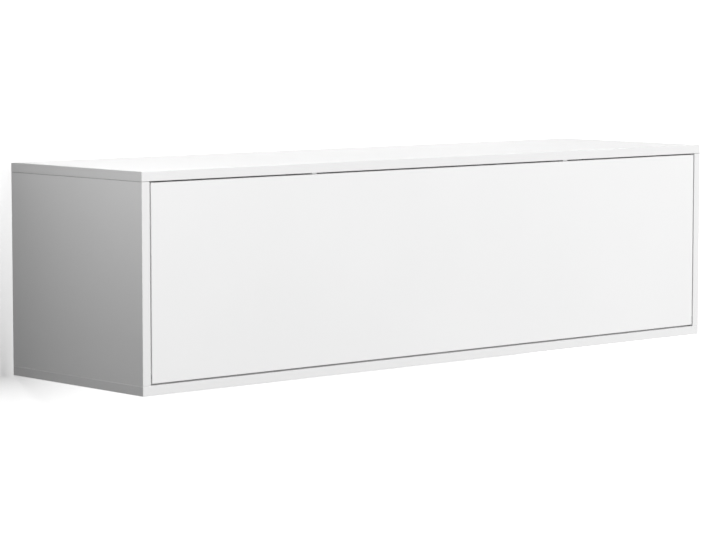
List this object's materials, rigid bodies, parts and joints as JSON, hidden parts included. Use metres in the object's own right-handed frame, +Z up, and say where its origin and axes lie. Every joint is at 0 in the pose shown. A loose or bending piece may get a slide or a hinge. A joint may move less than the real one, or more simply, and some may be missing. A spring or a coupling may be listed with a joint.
{
  "type": "wall cabinet",
  "caption": "Wide white wall cabinet with a flush, handleless drop-down flap on touch latches and brake stays, hung on steel wall plates.",
  "frame": {"origin": "centre of the four wall screw holes, on the wall plane", "axes": "+X along the cabinet's width, to the right for a person in front of it; +Y into the wall; +Z up"},
  "size_m": [1.47, 0.4, 0.4],
  "materials": {
    "white_board": "white melamine over chipboard, satin, with white edge band",
    "white_hardboard": "hardboard, white lacquer inside, raw brown behind",
    "beech": "turned beech, fluted",
    "zinc_steel": "bright zinc plate",
    "bright_rod": "drawn and nickel plated",
    "cast_zinc": "die-cast, fine satin",
    "white_plastic": "moulded, satin",
    "grey_plastic": "moulded, matt",
    "brake_lining": "matt friction lining",
    "magnet": "sintered, dull"
  },
  "bodies": {
    "case": {"top_panel": "white_board", "bottom_panel": "white_board", "left_side_panel": "white_board", "right_side_panel": "white_board", "centre_divider": "white_board", "back_panel": "white_hardboard", "dowels": "beech", "cam_discs": "zinc_steel", "cam_bolts": "zinc_steel", "hinge_pins": "zinc_steel", "left_stay_plate": "zinc_steel", "right_stay_plate": "zinc_steel", "left_hanger_hook": "zinc_steel", "right_hanger_hook": "zinc_steel", "left_wall_plate": "zinc_steel", "right_wall_plate": "zinc_steel", "hanger_height_screws": "zinc_steel", "hanger_depth_screws": "zinc_steel", "latch_screws": "zinc_steel", "stay_plate_screws": "zinc_steel", "hanger_screws": "zinc_steel", "cam_caps": "white_plastic", "left_latch_housing": "white_plastic", "right_latch_housing": "white_plastic", "left_hanger_cover": "white_plastic", "right_hanger_cover": "white_plastic", "left_hanger_body": "grey_plastic", "right_hanger_body": "grey_plastic", "hinge_side_bushes": "grey_plastic"},
    "flap": {"flap_panel": "white_board", "hinge_flap_bushes": "grey_plastic", "left_flap_bracket": "zinc_steel", "right_flap_bracket": "zinc_steel", "left_flap_pin": "zinc_steel", "right_flap_pin": "zinc_steel", "flap_bracket_screws": "zinc_steel", "left_strike_plate": "zinc_steel", "right_strike_plate": "zinc_steel", "strike_screws": "zinc_steel"},
    "left_brake": {"left_brake_head": "cast_zinc", "left_brake_pad": "brake_lining", "left_brake_screw": "zinc_steel"},
    "left_rod": {"left_stay_rod": "bright_rod", "left_stay_collar": "zinc_steel"},
    "left_plunger": {"left_latch_plunger": "grey_plastic", "left_latch_magnet": "magnet"},
    "right_brake": {"right_brake_head": "cast_zinc", "right_brake_pad": "brake_lining", "right_brake_screw": "zinc_steel"},
    "right_rod": {"right_stay_rod": "bright_rod", "right_stay_collar": "zinc_steel"},
    "right_plunger": {"right_latch_plunger": "grey_plastic", "right_latch_magnet": "magnet"}
  },
  "joints": [
    {"name": "flap_hinge", "type": "hinge", "parent": "case", "child": "flap", "pos_m": [0, -0.391, -0.285], "axis": [1, 0, 0], "range_deg": [0, 90]},
    {"name": "left_brake_swing", "type": "hinge", "parent": "case", "child": "left_brake", "pos_m": [-0.7055, -0.25938, -0.17456], "axis": [1, 0, 0], "range_deg": [0, 45]},
    {"name": "left_rod_swing", "type": "hinge", "parent": "flap", "child": "left_rod", "pos_m": [-0.7055, -0.36798, -0.11473], "axis": [1, 0, 0], "range_deg": [-45, 0]},
    {"name": "left_latch_press", "type": "slide", "parent": "case", "child": "left_plunger", "axis": [0, 1, 0], "range_m": [0, 0.003], "stiffness_N_per_m": 400},
    {"name": "right_brake_swing", "type": "hinge", "parent": "case", "child": "right_brake", "pos_m": [0.7055, -0.25938, -0.17456], "axis": [1, 0, 0], "range_deg": [0, 45]},
    {"name": "right_rod_swing", "type": "hinge", "parent": "flap", "child": "right_rod", "pos_m": [0.7055, -0.36798, -0.11473], "axis": [1, 0, 0], "range_deg": [-45, 0]},
    {"name": "right_latch_press", "type": "slide", "parent": "case", "child": "right_plunger", "axis": [0, 1, 0], "range_m": [0, 0.003], "stiffness_N_per_m": 400}
  ],
  "couplings": [
    {"joint": "left_brake_swing", "follows": "flap_hinge", "ratio": 0.5},
    {"joint": "left_rod_swing", "follows": "flap_hinge", "ratio": -0.5},
    {"joint": "right_brake_swing", "follows": "flap_hinge", "ratio": 0.5},
    {"joint": "right_rod_swing", "follows": "flap_hinge", "ratio": -0.5}
  ]
}
